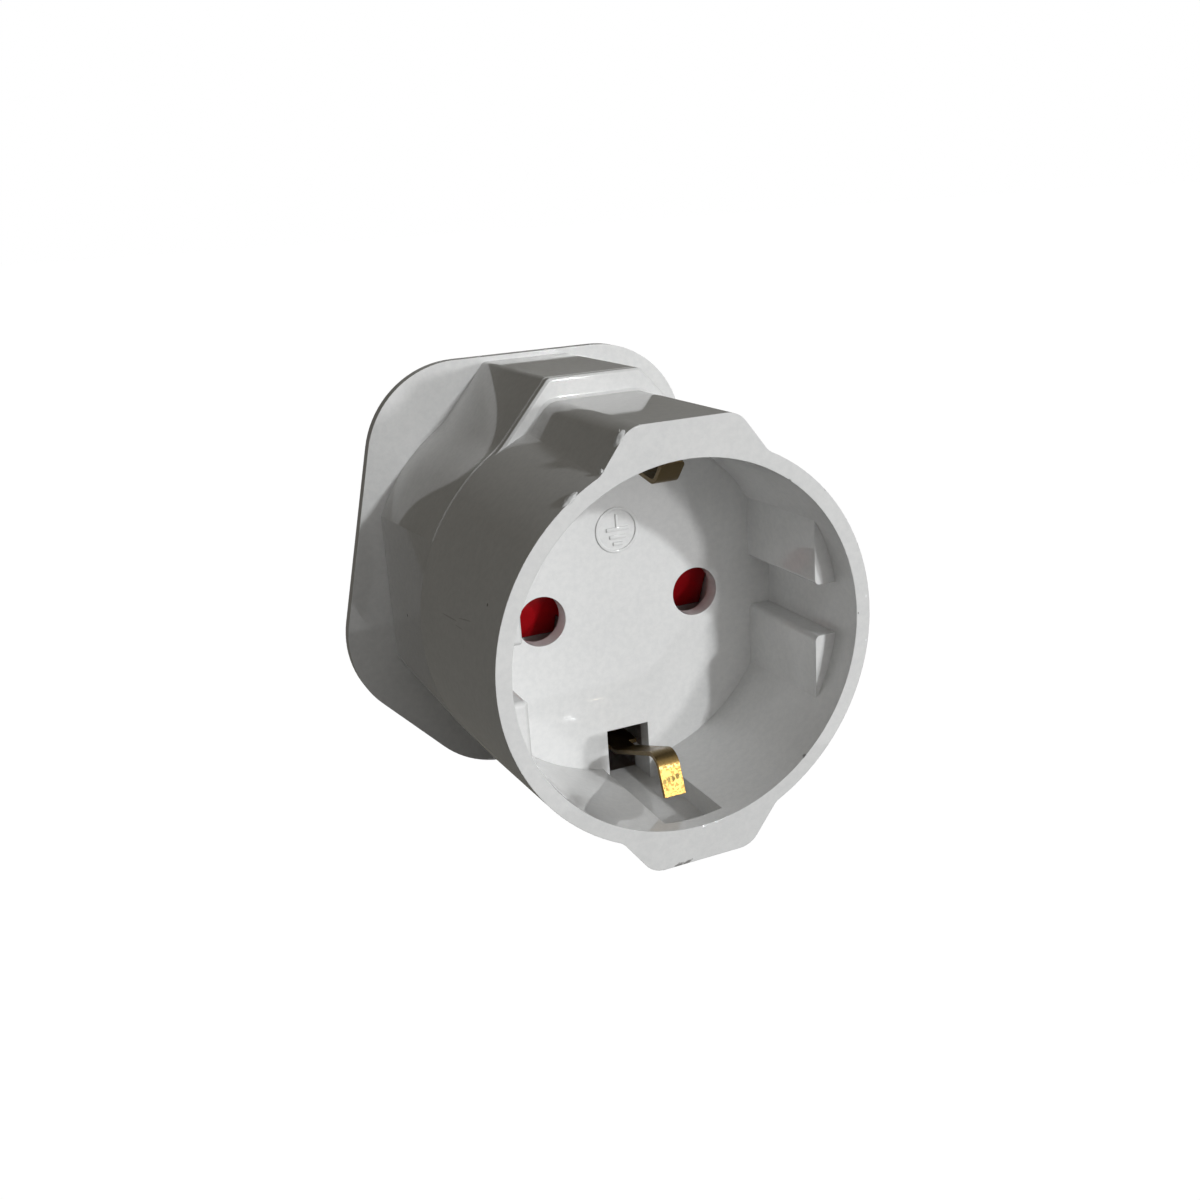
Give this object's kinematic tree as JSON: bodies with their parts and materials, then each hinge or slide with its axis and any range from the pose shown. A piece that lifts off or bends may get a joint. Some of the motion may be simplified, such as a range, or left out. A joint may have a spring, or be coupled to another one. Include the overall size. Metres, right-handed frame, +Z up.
{
  "type": "travel adapter",
  "caption": "Fused travel adapter: white round socket with side earth clips and a red shutter, on a flat plate with rectangular wall pins.",
  "frame": {"origin": "middle of the adapter along its length and width, at the bottom edge of the wall plate", "axes": "+X to the right seen from the front of the socket, +Y into the wall along the wall pins, +Z up towards the earth pin"},
  "size_m": [0.052, 0.0662, 0.0528],
  "materials": {
    "shell_plastic": "glossy white moulded plastic",
    "carrier_plastic": "satin white moulded plastic",
    "shutter_plastic": "glossy red moulded plastic",
    "inner_plastic": "matte off-white moulded plastic",
    "sleeve_plastic": "matte black insulating sleeve",
    "strap_brass": "rolled brass strip, scratched and tarnished",
    "pin_brass": "milled brass, lightly drawn",
    "contact_brass": "rolled brass strip",
    "fuse_ceramic": "fired ceramic",
    "fuse_nickel": "nickel-plated pressed cap",
    "fuse_wire": "tinned wire",
    "steel": "zinc-plated steel"
  },
  "bodies": {
    "case": {"front_shell": "shell_plastic", "rear_shell": "shell_plastic", "shutter_retainer": "inner_plastic", "earth_strap": "strap_brass", "earth_pin": "pin_brass", "neutral_pin": "pin_brass", "line_pin": "pin_brass", "neutral_pin_sleeve": "sleeve_plastic", "line_pin_sleeve": "sleeve_plastic", "neutral_contact": "contact_brass", "line_contact": "contact_brass", "line_strip": "contact_brass", "case_screws": "steel"},
    "shutter": {"shutter": "shutter_plastic", "shutter_spring": "steel"},
    "fuse_carrier": {"fuse_carrier": "carrier_plastic", "fuse_tube": "fuse_ceramic", "fuse_cap_upper": "fuse_nickel", "fuse_cap_lower": "fuse_nickel", "fuse_element": "fuse_wire"}
  },
  "joints": [
    {"name": "shutter_slide", "type": "slide", "parent": "case", "child": "shutter", "axis": [0, 0, 1], "range_m": [0, 0.00633], "stiffness_N_per_m": 60, "springref_m": -0.003, "deforming": ["shutter_spring"]},
    {"name": "carrier_slide", "type": "slide", "parent": "case", "child": "fuse_carrier", "axis": [0, 1, 0], "range_m": [0, 0.0074]}
  ]
}
